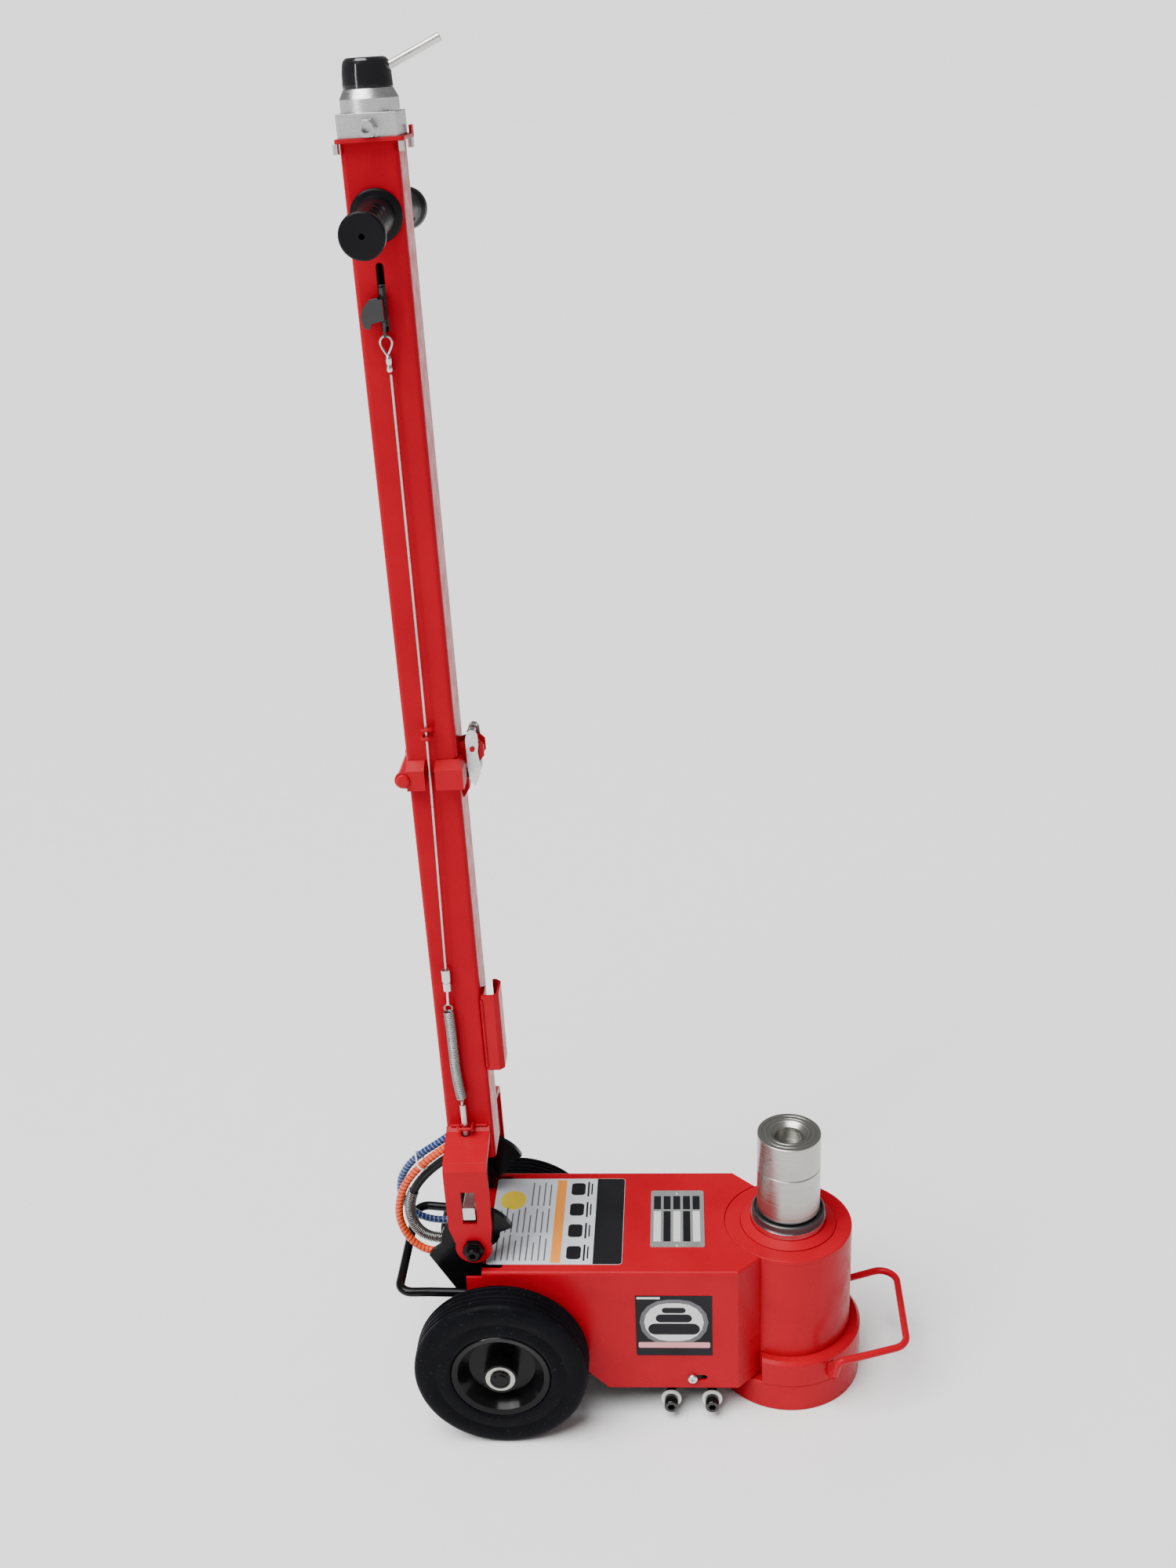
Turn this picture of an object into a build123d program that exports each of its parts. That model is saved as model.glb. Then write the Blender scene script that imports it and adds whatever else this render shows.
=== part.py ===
"""Air-hydraulic two-stage truck jack on two wheels, with a folding handle.

Row frame, millimetres: origin on the ram axis at floor level, +Z up, +X towards the ram end,
-X towards the wheels and the handle.  Handle pieces are drawn in the handle's own frame, whose
origin is the handle pivot and whose +Z runs up the tube, and are then leant back into place.
"""
from build123d import *
import math
import os

# ---------------------------------------------------------------- driving dimensions
TANK_R = 84.0                 # outside of the oil tank
TANK_WALL = 6.0
TOP_Z = 235.0                 # top of the tank and of the body cover
BASE_R, BASE_H = 98.0, 42.0   # foot disc
COLLAR_R, COLLAR_TOP = 98.5, 80.0
GLAND_R, GLAND_TOP = 63.0, 241.0
CYL_BORE = 53.05              # stage one piston runs in this bore
STAGE1_R, STAGE1_TOP = 49.0, 249.0
STAGE1_BORE = 37.5
RING_R, RING_TOP = 47.5, 259.0
STAGE2_R, STAGE2_TOP = 34.0, 260.0
ADAPTER_R = 41.3
ADAPTER_JOIN, ADAPTER_TOP = 327.0, 376.0
SPIGOT_R, SOCKET_R, SOCKET_DEPTH = 17.92, 18.0, 24.0

COVER_HALF = 104.3            # half width of the sheet-steel body cover
COVER_REAR, COVER_FRONT = -418.0, -69.6
COVER_T = 3.5
COVER_BOTTOM = 45.0

WHEEL_X, WHEEL_R = -375.2, 112.5
WHEEL_IN, WHEEL_OUT = 110.0, 160.0
AXLE_R = 10.0

PIVOT_X, PIVOT_Z = -407.0, 264.0
LEAN = 1.15                   # degrees that the locked handle leans back
FRAME_IN, FRAME_OUT = 71.0, 79.0
EAR_IN, EAR_OUT, EAR_HALF, EAR_X = 86.0, 92.0, 28.0, -2.0
BOLT_R = 9.0

TUBE = 60.0                   # square handle tube
TUBE_T = 3.2
LOWER_BOTTOM, LOWER_TOP = 95.0, 636.0
FOLD_X, FOLD_Z = -33.5, 636.0
UPPER_BOTTOM, UPPER_TOP = 637.0, 1326.0
GRIP_Z, GRIP_END = 1258.0, 151.0
GRIP_DROOP = 4.0              # degrees that each grip slopes down towards its end
LINE_X = -1.5                 # release cable and slot, seen from the side
LATCH_X, LATCH_Z = 46.0, 660.0
HEAD_X = 0.5

FIT = 0.05                    # radial clearance of a running fit
HOSE_R = {"orange_hose": 5.2, "blue_hose": 5.0, "black_hose": 6.0}

LOW = (Align.CENTER, Align.CENTER, Align.MIN)
os.makedirs("parts", exist_ok=True)


# ---------------------------------------------------------------- helpers
def save(node, *solids):
    """Writes one node; several solids stay separate inside it."""
    flat = [s for piece in solids for s in piece.solids()]
    shape = flat[0] if len(flat) == 1 else Compound(children=flat)
    export_step(shape, f"parts/{node}.step")


def disc(radius, z0, z1, x=0.0, y=0.0):
    return Pos(x, y, z0) * Cylinder(radius, z1 - z0, align=LOW)


def ring(outer, inner, z0, z1, x=0.0, y=0.0):
    return disc(outer, z0, z1, x, y) - disc(inner, z0 - 1, z1 + 1, x, y)


def block(x0, x1, y0, y1, z0, z1):
    return Pos((x0 + x1) / 2, (y0 + y1) / 2, (z0 + z1) / 2) * Box(x1 - x0, y1 - y0, z1 - z0)


def rod_y(radius, y0, y1, x, z):
    """Cylinder along Y from y0 to y1."""
    return Pos(x, (y0 + y1) / 2, z) * Rot(90, 0, 0) * Cylinder(radius, abs(y1 - y0))


def rod_x(radius, x0, x1, y, z):
    return Pos((x0 + x1) / 2, y, z) * Rot(0, 90, 0) * Cylinder(radius, abs(x1 - x0))


def hex_y(across_flats, y0, y1, x, z):
    """Hexagonal prism along Y."""
    face = Plane.XZ * RegularPolygon(across_flats / math.sqrt(3), 6)
    return Pos(x, max(y0, y1), z) * extrude(face, abs(y1 - y0))


def lathe(points, x=0.0, y=0.0):
    """Revolves a closed outline of (radius, z) points about a vertical axis."""
    outline = Plane.XZ * make_face(Polyline(*points, close=True))
    return Pos(x, y, 0) * revolve(outline, Axis.Z)


def plate_xz(points, y0, y1):
    """Flat plate in an XZ outline, from y0 to y1."""
    face = Plane.XZ * make_face(Polyline(*points, close=True))
    return Pos(0, max(y0, y1), 0) * extrude(face, abs(y1 - y0))


def arc_points(cx, cz, radius, start, end, steps):
    """Points on an arc, angles in degrees."""
    turn = [math.radians(start + (end - start) * i / steps) for i in range(steps + 1)]
    return [(cx + radius * math.cos(a), cz + radius * math.sin(a)) for a in turn]


def corner_radii(route):
    """One fillet radius per corner: 0.45 of the shorter run over the tangent of half the turn."""
    points = [Vector(*p) for p in route]
    radii = []
    for a, b, c in zip(points, points[1:], points[2:]):
        turn = math.radians((b - a).get_angle(c - b))
        radii.append(0.45 * min((b - a).length, (c - b).length) / math.tan(turn / 2))
    return radii


def tube_along(route, radius, name):
    """Round solid along straight runs joined by tangent arcs."""
    radii = corner_radii(route)
    path = FilletPolyline(*route, radius=radii)
    section = Plane(origin=route[0], z_dir=path % 0) * Circle(radius)
    solid = sweep(section, path=path)
    print(f"{name}: length {path.length:.0f}, smallest bend {min(radii):.0f}, "
          f"volume ratio {solid.volume / (math.pi * radius ** 2 * path.length):.3f}")
    return solid


def rod_along(points, radius, bend):
    """Bent rod with one bend radius at every corner."""
    path = FilletPolyline(*points, radius=bend)
    return sweep(Plane(origin=points[0], z_dir=path % 0) * Circle(radius), path=path)


def on_handle(shape):
    """Moves a shape from the handle's frame to the row frame."""
    return Pos(PIVOT_X, 0, PIVOT_Z) * Rot(0, -LEAN, 0) * shape


def square_tube(z0, z1):
    outer = extrude(Plane.XY.offset(z0) * RectangleRounded(TUBE, TUBE, 6), z1 - z0)
    inside = TUBE - 2 * TUBE_T
    inner = extrude(Plane.XY.offset(z0 - 1) * RectangleRounded(inside, inside, 3), z1 - z0 + 2)
    return outer - inner


# ---------------------------------------------------------------- ram column
def ram_column():
    foot = chamfer(disc(BASE_R, 0, BASE_H).edges().filter_by(GeomType.CIRCLE), 1.2)
    save("base_plate", foot)

    collar = ring(COLLAR_R, TANK_R + 0.2, BASE_H, COLLAR_TOP)
    collar = chamfer(collar.edges().filter_by(GeomType.CIRCLE).group_by(Axis.Z)[-1].sort_by(
        SortBy.RADIUS)[-1:], 4)
    collar -= block(-120, -38, -120, 120, 0, 100)
    save("base_collar", collar)

    save("oil_tank", ring(TANK_R, TANK_R - TANK_WALL, BASE_H, TOP_Z - 6))
    cap = ring(TANK_R, GLAND_R + 0.3, TOP_Z - 6, TOP_Z)
    cap = fillet(cap.edges().filter_by(GeomType.CIRCLE).group_by(Axis.Z)[-1].sort_by(
        SortBy.RADIUS)[-1:], 1.6)
    save("tank_top_ring", cap)

    gland_foot = TOP_Z - 14
    save("gland_nut", lathe([(STAGE1_R + FIT, gland_foot), (67, gland_foot), (67, TOP_Z - 6.3),
                             (GLAND_R, TOP_Z - 6.3), (GLAND_R, TOP_Z + 1), (50.3, GLAND_TOP),
                             (STAGE1_R + FIT, GLAND_TOP - 1)]))
    save("pressure_cylinder", ring(67, CYL_BORE, BASE_H, gland_foot))

    bottom, piston = BASE_H + 4, 30
    save("stage_one_ram", lathe([(0, bottom), (CYL_BORE - FIT, bottom),
                                 (CYL_BORE - FIT, bottom + piston), (STAGE1_R, bottom + piston),
                                 (STAGE1_R, STAGE1_TOP), (STAGE1_BORE, STAGE1_TOP),
                                 (STAGE1_BORE, bottom + 12), (0, bottom + 12)]))
    save("stage_one_ring", lathe([(STAGE2_R + FIT, STAGE1_TOP), (RING_R, STAGE1_TOP),
                                  (RING_R, RING_TOP - 1), (RING_R - 1, RING_TOP),
                                  (RING_R - 3, RING_TOP), (RING_R - 4.5, RING_TOP - 2.5),
                                  (STAGE2_R + FIT, RING_TOP - 2.5)]))
    low2 = bottom + 14
    socket = STAGE2_TOP - SOCKET_DEPTH - 2
    save("stage_two_ram", lathe([(0, low2), (STAGE1_BORE - FIT, low2), (STAGE1_BORE - FIT, low2 + 26),
                                 (STAGE2_R, low2 + 26), (STAGE2_R, STAGE2_TOP),
                                 (SOCKET_R, STAGE2_TOP), (SOCKET_R, socket), (0, socket)]))
    adapter("lower_adapter", STAGE2_TOP, ADAPTER_JOIN, mouth=0.6)
    adapter("upper_adapter", ADAPTER_JOIN, ADAPTER_TOP, mouth=7.0)


def adapter(node, z0, z1, mouth):
    """Extension piece: spigot below, socket with a chamfered mouth above."""
    edge = 0.9
    floor = z1 - SOCKET_DEPTH
    grooves = []
    for radius in (36.0, 29.5):
        grooves += [(radius, z1), (radius - 0.4, z1 - 0.7), (radius - 1.8, z1 - 0.7), (radius - 2.2, z1)]
    save(node, lathe([(0, z0 - 22), (SPIGOT_R - 1, z0 - 22), (SPIGOT_R, z0 - 21), (SPIGOT_R, z0),
                      (ADAPTER_R - edge, z0), (ADAPTER_R, z0 + edge), (ADAPTER_R, z1 - edge),
                      (ADAPTER_R - edge, z1), *grooves, (SOCKET_R + mouth, z1),
                      (SOCKET_R, z1 - mouth * 0.8),
                      (SOCKET_R, floor), (0, floor)]))


# ---------------------------------------------------------------- body cover and labels
def cover_plan(inset):
    half, nose = COVER_HALF - inset, COVER_FRONT - inset * 0.4
    return [(COVER_REAR, -half), (nose, -half), (-38, -half + 31.6), (-38, half - 31.6),
            (nose, half), (COVER_REAR, half)]


def body_cover():
    height = TOP_Z - COVER_BOTTOM
    outer = extrude(Plane.XY.offset(COVER_BOTTOM) * make_face(Polyline(*cover_plan(0), close=True)),
                    height)
    top = outer.edges().group_by(Axis.Z)[-1]
    outer = fillet([e for e in top if abs(e.center().X - COVER_REAR) > 1 and e.center().X < -45], 4)
    plan = cover_plan(COVER_T)
    plan[0] = (COVER_REAR - 5, plan[0][1])
    plan[-1] = (COVER_REAR - 5, plan[-1][1])
    inner = extrude(Plane.XY.offset(COVER_BOTTOM - 1) * make_face(Polyline(*plan, close=True)),
                    height + 1 - COVER_T)
    cover = outer - inner - disc(TANK_R + 0.3, 0, 400)
    under = [(-239, COVER_BOTTOM - 1), (-240, COVER_BOTTOM), (-323, 128), (COVER_REAR - 9, 128),
             (COVER_REAR - 9, COVER_BOTTOM - 1)]
    cover -= plate_xz(under, -130, 130)
    for side in (-1, 1):
        cover -= slot_hole(side)
        y0, y1 = sorted((side * 83, side * 95))
        cover -= fillet(block(COVER_REAR - 9, -372, y0, y1, 225, 250).edges().filter_by(
            Axis.Z).group_by(Axis.X)[-1], 4)
        cover -= block(COVER_REAR - 9, -398, *sorted((side * 80, side * 120)), 227, 250)
        cover -= block(COVER_REAR - 9, -392, *sorted((side * 69.5, side * 80.5)), 225, 250)
    save("body_cover", cover)


SCREW_X, SCREW_Z = -129.4, 62.0


def slot_hole(side):
    """Slot that lets the cover slide onto its side screw."""
    centre = SCREW_X + 7.5
    face = Plane.XZ * SlotOverall(24, 9)
    return Pos(centre, side * (COVER_HALF - 2) + 6, SCREW_Z) * extrude(face, 12)


def cover_screws():
    screws = []
    for side in (-1, 1):
        shank = rod_y(3.8, side * FRAME_OUT, side * (COVER_HALF + 1), SCREW_X, SCREW_Z)
        head = rod_y(6.6, side * (COVER_HALF + 0.1), side * (COVER_HALF + 5), SCREW_X, SCREW_Z)
        outer = head.edges().filter_by(GeomType.CIRCLE).sort_by(Axis.Y)
        head = fillet(outer[:1] if side < 0 else outer[-1:], 2.4)
        recess = hex_y(4, side * (COVER_HALF + 3), side * (COVER_HALF + 6), SCREW_X, SCREW_Z)
        screws.append(shank + head - recess)
    save("cover_screws", *screws)


def labels():
    sheet = Plane((-306, 0, TOP_Z)) * RectangleRounded(176, 178, 5)
    save("instruction_plate", extrude(sheet, 0.5))

    plate = extrude(Plane((-146.5, 3.5, TOP_Z)) * RectangleRounded(71, 117, 3), 0.8)
    rivets = [disc(2.2, TOP_Z + 0.8, TOP_Z + 2.2, -146.5, 3.5 + side * 54) for side in (-1, 1)]
    save("rating_plate", plate + rivets[0] + rivets[1])

    side = Plane.XZ.offset(COVER_HALF) * Pos(-152.5, 149) * RectangleRounded(99, 98, 1)
    save("side_label", extrude(side, 0.4))


# ---------------------------------------------------------------- chassis
def frame_outline():
    """Side plate: hooked sector around the pivot, axle boss, nose under the pump."""
    hook = arc_points(PIVOT_X, PIVOT_Z, 54, 80, 24, 12)
    notch = [(-373.5, 279), (-374.5, 271), (-379, 263), (-387, 256), (-400, 247), (-400, 226)]
    nose = [(-340, 222), (-215, 128), (-100, 74), (-100, 35), (-175, 35), (-244, 36), (-275, 47)]
    boss = arc_points(WHEEL_X, WHEEL_R, 36, -50, -150, 8)
    gusset = [(-433, 182), (-468, 242), (-462, 249)]
    rear = arc_points(PIVOT_X, PIVOT_Z, 44, 188, 80, 16)
    return hook + notch + nose + boss + gusset + rear


def frame_plates():
    for node, side in (("frame_plate_left", -1), ("frame_plate_right", 1)):
        y0, y1 = side * FRAME_IN, side * FRAME_OUT
        plate = plate_xz(frame_outline(), y0, y1)
        plate -= rod_y(BOLT_R + 0.1, side * 60, side * 90, PIVOT_X, PIVOT_Z)
        plate -= rod_y(14.1, side * 60, side * 90, WHEEL_X, WHEEL_R)
        save(node, plate)


PORTS = {"orange_hose": (-30, 208), "black_hose": (-3, 209), "blue_hose": (28, 214)}
PORT_TIP = -455.0


def hose_bulkhead():
    plate = block(-424, -418, -FRAME_IN + 0.2, FRAME_IN - 0.2, 150, 230)
    fittings = []
    for y, z in PORTS.values():
        plate -= rod_x(6.2, -430, -410, y, z)
        nut = Pos(-424, y, z) * Rot(0, -90, 0) * extrude(RegularPolygon(9, 6), 9)
        fittings.append(nut + rod_x(6, -424, -412, y, z) + rod_x(7.4, PORT_TIP, -433, y, z))
    save("rear_cross_plate", plate)
    save("hose_fittings", *fittings)


def axle():
    shaft = rod_y(AXLE_R, -166, 166, WHEEL_X, WHEEL_R)
    shaft = chamfer(shaft.edges().filter_by(GeomType.CIRCLE), 1.5)
    shaft += rod_y(14, -107.5, 107.5, WHEEL_X, WHEEL_R)
    clips = [rod_y(13, side * 163.6, side * 165, WHEEL_X, WHEEL_R)
             - rod_y(AXLE_R + 0.05, side * 160, side * 170, WHEEL_X, WHEEL_R) for side in (-1, 1)]
    save("axle", shaft, *clips)


def pivot_bolts():
    """Shouldered bolt, spacer and nut on each side; the handle's ears turn on them."""
    bolts, nuts = [], []
    for side in (-1, 1):
        bolt = rod_y(BOLT_R, side * 62, side * 109, PIVOT_X, PIVOT_Z)
        bolt += hex_y(28, side * 61, side * 70.8, PIVOT_X, PIVOT_Z)
        ends = bolt.edges().filter_by(GeomType.CIRCLE).sort_by(Axis.Y)
        bolt = fillet(ends[:1] if side < 0 else ends[-1:], 2)
        bolts.append(bolt - hex_y(8, side * 104, side * 112, PIVOT_X, PIVOT_Z))
        shank = rod_y(BOLT_R, side * 60, side * 120, PIVOT_X, PIVOT_Z)
        nuts.append(rod_y(15, side * 79.2, side * (EAR_IN - 0.3), PIVOT_X, PIVOT_Z) - shank)
        nut = hex_y(25, side * (EAR_OUT + 0.4), side * 100.5, PIVOT_X, PIVOT_Z)
        nut &= rod_y(13.8, side * 90, side * 102, PIVOT_X, PIVOT_Z)
        nuts.append(nut - shank)
    save("pivot_bolts", *bolts, *nuts)


def rods():
    y = FRAME_OUT + 6.3
    rear = [(-405, -y, 186), (-470, -y - 2, 189), (-511, -y - 5, 191), (-511, y + 5, 191),
            (-470, y + 2, 189), (-405, y, 186)]
    save("rear_handle", rod_along(rear, 6, 17))

    front = [(57, -96, 60), (61, -100.5, 86), (154, -69, 86), (156, 88, 86), (70, 55, 86)]
    rod = rod_along(front, 4.8, [8, 24, 22]) - disc(TANK_R + 0.2, 0, 300)
    rod -= disc(COLLAR_R + 0.2, 0, 80.2)
    gusset = Plane((0, 0, 0), x_dir=(0.53, -0.848, 0), z_dir=(-0.848, -0.53, 0)) * make_face(
        Polyline((COLLAR_R + 0.3, 50), (COLLAR_R + 10, 50), (COLLAR_R + 0.3, 72), close=True))
    lug = extrude(gusset, 5, both=True) - rod
    save("front_handle", rod, lug.solids().sort_by(SortBy.VOLUME)[-1])


def pump():
    valve = block(-196, -84, -70.8, 70.8, 12, 70) - disc(BASE_R + 0.3, -1, 100)
    save("valve_block", chamfer(valve.edges().filter_by(Axis.Z).group_by(Axis.X)[0], 6))

    caps, washers = [], []
    for x in (-158, -104):
        stem = rod_y(6.5, -71, -102, x, 22)
        cap = rod_y(9.2, -101, -116, x, 22)
        cap = fillet(cap.edges().filter_by(GeomType.CIRCLE).sort_by(Axis.Y)[:1], 1.5)
        caps.append(stem + cap - hex_y(9, -110, -120, x, 22))
        washers.append(rod_y(13.2, -98, -100.8, x, 22) - rod_y(6.7, -90, -110, x, 22))
    save("valve_caps", *caps)
    save("valve_washers", *washers)

    motor = rod_x(36, -345, -215, 0, 132)
    motor = fillet(motor.edges().filter_by(GeomType.CIRCLE), 4)
    motor += block(-216, -150, -28, 28, 70.2, 162)
    save("air_motor", motor)


# ---------------------------------------------------------------- wheels
def wheels():
    mid = (WHEEL_IN + WHEEL_OUT) / 2
    for name, side in (("left", -1), ("right", 1)):
        def place(shape):
            return Pos(WHEEL_X, side * mid, WHEEL_R) * Rot(90, 0, 0) * shape

        half = (WHEEL_OUT - WHEEL_IN) / 2
        tyre = lathe([(65, -half + 2), (68, -half), (WHEEL_R - 7, -half), (WHEEL_R - 2, -half + 3),
                      (WHEEL_R, -half + 9), (WHEEL_R, half - 9), (WHEEL_R - 2, half - 3),
                      (WHEEL_R - 7, half), (68, half), (65, half - 2)])
        for groove in (-12, 0, 12):
            tyre -= ring(WHEEL_R + 3, WHEEL_R - 2.5, groove - 1.6, groove + 1.6)
        save(f"tyre_{name}", place(tyre))

        rim = lathe([(19.1, -27.2), (22, -27.2), (22, -3), (43, -3), (56, -22), (63, -24), (64.8, -22),
                     (64.8, 22), (63, 24), (56, 22), (43, 3), (22, 3), (22, 27.2), (19.1, 27.2)])
        rim -= ring(61, 57, -13, 13)
        save(f"rim_{name}", place(rim))
        save(f"bearing_{name}", *[place(ring(19, AXLE_R + FIT, z, z + 8)) for z in (-27.2, 19.2)])


# ---------------------------------------------------------------- lower handle and lock
def lower_handle():
    tube = square_tube(LOWER_BOTTOM, LOWER_TOP)
    tube -= block(-40, -20, -22, 22, LOWER_BOTTOM - 5, LOWER_BOTTOM + 48)
    tube -= rod_y(8.4, -50, 50, FOLD_X, FOLD_Z)
    barrel = rod_y(8.3, -40.6, 40.6, FOLD_X, FOLD_Z) - rod_y(5 + FIT, -60, 60, FOLD_X, FOLD_Z)
    barrel -= block(-29.9, 0, -60, 60, FOLD_Z + 0.05, FOLD_Z + 20)
    catch = plate_xz([(30.2, 596), (38, 608), (38, 622), (30.2, 626)], -8, 8)
    save("lower_tube", on_handle(tube), on_handle(barrel), on_handle(catch))

    hook = rod_along([(5, -30.2, 150), (5, -45, 150), (-13, -45, 150), (-13, -36, 150)], 2, 3)
    save("yoke_left", on_handle(yoke(-1)), on_handle(hook))
    save("yoke_right", on_handle(yoke(1)))


def yoke(side):
    """Cranked strap: along the tube, out over a shelf and down to the pivot."""
    t = EAR_OUT - EAR_IN
    shelf = [(30.1, 145), (30.1, 134), (EAR_IN - 6, 121.5), (EAR_IN, 115), (EAR_IN, -40),
             (EAR_OUT, -40), (EAR_OUT, 118), (EAR_OUT - 7, 127.3), (36, 140)]
    face = Plane.YZ * make_face(Polyline(*[(side * y, z) for y, z in shelf], close=True))
    strap = Pos(EAR_X - EAR_HALF, 0, 0) * extrude(face, 2 * EAR_HALF)
    foot = [(EAR_X - EAR_HALF, 32), (-23, 8)] + arc_points(0, 0, 23.5, 160, 380, 20)
    foot += [(23, 8), (EAR_X + EAR_HALF, 32), (EAR_X + EAR_HALF, 160), (EAR_X - EAR_HALF, 160)]
    strap &= plate_xz(foot, -200, 200)
    strap -= rod_y(BOLT_R + FIT, side * (EAR_IN - t), side * (EAR_OUT + t), 0, 0)
    strap -= block(-10.4, 7.6, *sorted((side * 80, side * 100)), 38, 87)
    strap -= disc(6.4, 100, 160, -4, side * 38)
    return strap


def accessory_clip():
    """Bent sheet trough on the front face of the lower tube."""
    outline = [(30.1, -30), (46, -30), (52, -24), (52, 6), (46, 12), (41, 12), (41, 8.6), (44.5, 8.6),
               (48.6, 4.5), (48.6, -22.5), (44.5, -26.6), (33.5, -26.6), (33.5, -6), (30.1, -6)]
    face = Plane.XY.offset(228) * make_face(Polyline(*outline, close=True))
    save("accessory_clip", on_handle(extrude(face, 108)))


def lock_line():
    bar = block(EAR_X - 7.2, EAR_X + 8.4, -94, 94, 46, 64)
    bar = chamfer(bar.edges().filter_by(Axis.Y), 1)
    rod = rod_between((-4, -38, 64.1), (-4.6, -38, 183), 4)
    eye = Pos(-4.6, -38, 187) * Rot(0, 90, 0) * Torus(4.5, 1.4)
    save("lock_bar", on_handle(bar))
    save("pull_rod", on_handle(rod + eye))
    save("release_spring", on_handle(rod_between((-5, -38, 194), (-10, -38, 321), 7.4)))
    adjuster = ring(5.6, 2, 364, 380, -8.5, -38) + ring(5.0, 2, 351, 362, -8.5, -38)
    adjuster += ring(4.4, 2, 360, 365, -8.5, -38)
    hook = rod_between((-9, -38, 350), (-9.8, -38, 330), 1.5)
    save("cable_adjuster", on_handle(adjuster), on_handle(hook))


def rod_between(start, end, radius):
    direction = Vector(*end) - Vector(*start)
    return extrude(Plane(origin=start, z_dir=direction) * Circle(radius), direction.length)


def release_cable():
    route = [(0, -36, 1098), (LINE_X, -39, 690), (-8.5, -38, 365)]
    save("release_cable", on_handle(tube_along(route, 1.4, "release_cable")))


# ---------------------------------------------------------------- upper handle
def upper_handle():
    tube = square_tube(UPPER_BOTTOM, UPPER_TOP) - rod_y(9, -50, 50, FOLD_X, FOLD_Z)
    slot = Plane.XZ * Pos(LINE_X, 1175) * SlotOverall(70, 8, rotation=90)
    tube -= Pos(0, -20, 0) * extrude(slot, 20)
    eyes = [Pos(LINE_X + dx, -39, z) * Rot(tilt, 0, 0) * Torus(5.5, 2)
            for dx, z, tilt in ((0, 687, 12), (1, 696, -14))]
    save("upper_tube", on_handle(tube), *[on_handle(e) for e in eyes])

    save("hinge_cuff", on_handle(hinge_cuff()))
    pin = rod_y(5, -49, 49, FOLD_X, FOLD_Z)
    heads = [rod_y(8.2, side * 45.2, side * 49, FOLD_X, FOLD_Z) for side in (-1, 1)]
    pin += heads[0] + heads[1]
    pin = fillet([e for e in pin.edges().filter_by(GeomType.CIRCLE) if abs(e.center().Y) > 48.5], 3)
    save("fold_pin", on_handle(pin))


def hinge_cuff():
    """Welded skirt of the upper tube that straddles the fold, with hinge ears and latch ears."""
    def skirt(inset, z0, z1, z2):
        x0, x1, half = -30, 36.5 - inset, 45 - inset
        body = block(x0, x1, -half, half, z0, z1)
        low = Plane.XY.offset(z1) * Pos((x0 + x1) / 2, 0) * Rectangle(x1 - x0, 2 * half)
        high = Plane.XY.offset(z2) * Pos(1, 0) * Rectangle(62, 62 - inset / 4)
        return body + loft([low.face(), high.face()])

    cuff = skirt(0, 622, 647, 655) - skirt(4, 600, 645, 652)
    cuff -= block(-40, 30.05, -30.05, 30.05, 600, 700) + block(-60, -29.9, -60, 60, 600, 700)
    for side in (-1, 1):
        y0, y1 = sorted((side * 41, side * 45))
        cuff += rod_y(10, y0, y1, FOLD_X, FOLD_Z) + block(FOLD_X, -29, y0, y1, 626, 646)
        cuff -= rod_y(5 + FIT, side * 30, side * 50, FOLD_X, FOLD_Z)
        ear = [(36.4, 641), (44, 640), (53, 643), (59, 650), (59, 664), (53, 670), (42, 671),
               (30.1, 667), (30.1, 656), (36.4, 648)]
        cuff += plate_xz(ear, side * 8, side * 11)
    cuff -= block(-8, 4, -60, -30.05, 600, 700)
    cuff -= block(31, 45, -12, 12, 610, 634)
    pin = rod_y(3, -16.5, 16.5, LATCH_X, LATCH_Z)
    return cuff + pin


def latch():
    """Zinc channel lever outside the ears: fork at the top, pointed finger at the bottom."""
    side_view = [(38.5, 672), (41, 681), (45, 684), (50, 683), (53, 678), (53.5, 666), (52, 656),
                 (53, 646), (53, 628), (46, 613), (40, 622), (38.5, 638)]
    lever = plate_xz(side_view, -14.5, 14.5)
    lever -= block(38, 60, -12, 12, 637, 690) + block(41, 60, -12, 12, 600, 637.1)
    top = plate_xz([(38.5, 673.5), (41, 681), (45, 684), (50, 683), (51, 681), (45, 681.5), (42.5, 680),
                    (40.7, 673.5)], -12.1, 12.1)
    lever += top - block(30, 60, -4, 4, 670, 690)
    lever -= rod_y(3 + FIT, -20, 20, LATCH_X, LATCH_Z)
    save("latch_lever", on_handle(lever))


def grips():
    """Moulded grip with a flange, finger recesses and a small hole in its end."""
    for node, side in (("grip_left", -1), ("grip_right", 1)):
        profile = [(0, 30.2), (27, 30.2), (27, 33.5), (25.5, 35), (20, 36.5), (19, 50), (18, 70),
                   (17.6, 95), (18, 118), (19.5, 131), (22.5, 138), (23, 143), (23, GRIP_END - 1.5),
                   (21.5, GRIP_END), (3, GRIP_END), (3, GRIP_END - 12), (0, GRIP_END - 12)]
        body = lathe(profile)
        dent = Pos(23.5, 0, 72) * Sphere(10)
        for k in range(3):
            body -= Rot(0, 0, 55) * Pos(0, 0, 20 * k) * dent
        turned = Rot(90, 0, 0) * body if side < 0 else Rot(-90, 0, 0) * body
        turned = Rot(-side * GRIP_DROOP, 0, side * -2) * turned
        grip = Pos(0, 0, GRIP_Z) * turned - block(-40, 40, -30.05, 30.05, GRIP_Z - 60, GRIP_Z + 60)
        save(node, on_handle(grip.solids().sort_by(SortBy.VOLUME)[-1]))


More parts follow.
